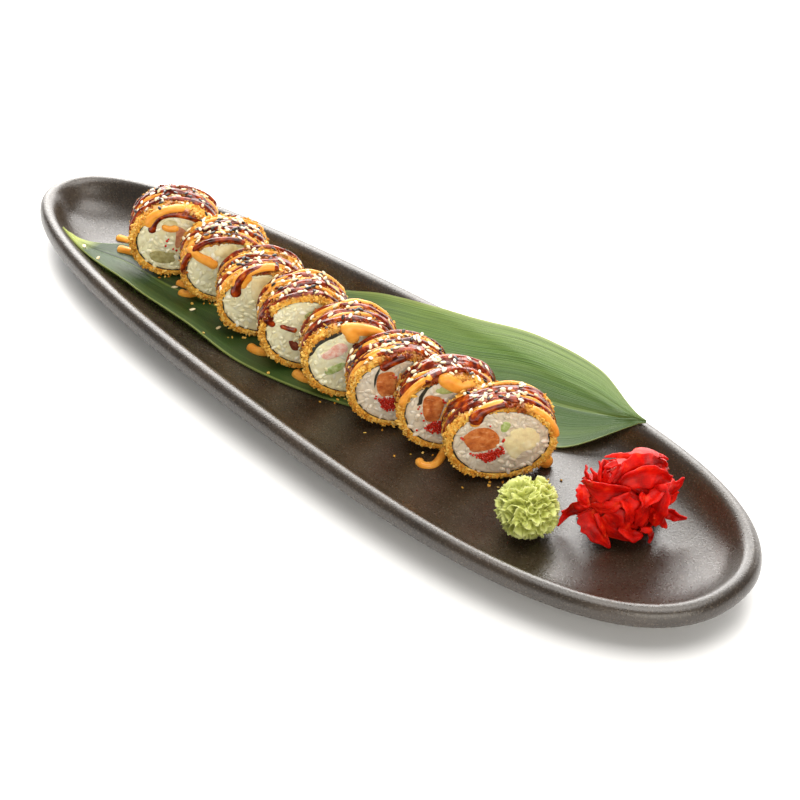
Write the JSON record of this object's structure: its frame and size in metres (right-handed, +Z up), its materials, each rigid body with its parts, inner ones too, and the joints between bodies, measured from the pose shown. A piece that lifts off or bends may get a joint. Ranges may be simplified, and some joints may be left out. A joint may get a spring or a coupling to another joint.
{
  "type": "breaded sushi rolls on an oval plate",
  "caption": "Long dark stoneware plate with a row of fried breaded sushi roll pieces on a green leaf, green paste and red ginger.",
  "frame": {"origin": "middle of the plate's flat base", "axes": "+X along the plate to its wide end, where the paste and the ginger are, +Z up"},
  "size_m": [0.4, 0.1197, 0.0457],
  "materials": {
    "stoneware": "satin dark brown-grey speckled stoneware glaze",
    "leaf": "waxy green leaf with fine lengthwise veins",
    "breading": "rough golden fried breadcrumb",
    "seaweed": "thin near-black toasted seaweed sheet",
    "rice": "moist pearly cooked rice",
    "salmon": "moist orange fish with pale lines",
    "omelette": "soft pale yellow",
    "cucumber": "wet translucent green",
    "cheese": "smooth pale cream",
    "avocado": "smooth yellow-green",
    "tuna": "moist dark red-brown",
    "crab": "fibrous pink and white",
    "roe": "wet red beads",
    "green_paste": "crinkled pale green paste",
    "ginger": "wet translucent red slices",
    "orange_sauce": "creamy pale orange",
    "dark_sauce": "glossy dark red-brown syrup",
    "sesame": "white and black sesame seeds"
  },
  "bodies": {
    "root": {"plate": "stoneware", "leaf": "leaf", "roll_1_crust": "breading", "roll_1_nori": "seaweed", "roll_1_salmon": "salmon", "roll_1_omelette": "omelette", "roll_1_cucumber": "cucumber", "roll_1_rice": "rice", "roll_2_crust": "breading", "roll_2_nori": "seaweed", "roll_2_cheese": "cheese", "roll_2_rice": "rice", "roll_3_crust": "breading", "roll_3_nori": "seaweed", "roll_3_cheese": "cheese", "roll_3_rice": "rice", "roll_4_crust": "breading", "roll_4_nori": "seaweed", "roll_4_avocado": "avocado", "roll_4_tuna": "tuna", "roll_4_rice": "rice", "roll_5_crust": "breading", "roll_5_nori": "seaweed", "roll_5_crab": "crab", "roll_5_cucumber": "cucumber", "roll_5_cheese": "cheese", "roll_5_rice": "rice", "roll_6_crust": "breading", "roll_6_nori": "seaweed", "roll_6_salmon": "salmon", "roll_6_roe": "roe", "roll_6_rice": "rice", "roll_7_crust": "breading", "roll_7_nori": "seaweed", "roll_7_salmon": "salmon", "roll_7_roe": "roe", "roll_7_avocado": "avocado", "roll_7_rice": "rice", "roll_8_crust": "breading", "roll_8_nori": "seaweed", "roll_8_salmon": "salmon", "roll_8_cheese": "cheese", "roll_8_cucumber": "cucumber", "roll_8_roe": "roe", "roll_8_rice": "rice", "green_paste": "green_paste", "ginger": "ginger"}
  },
  "joints": []
}
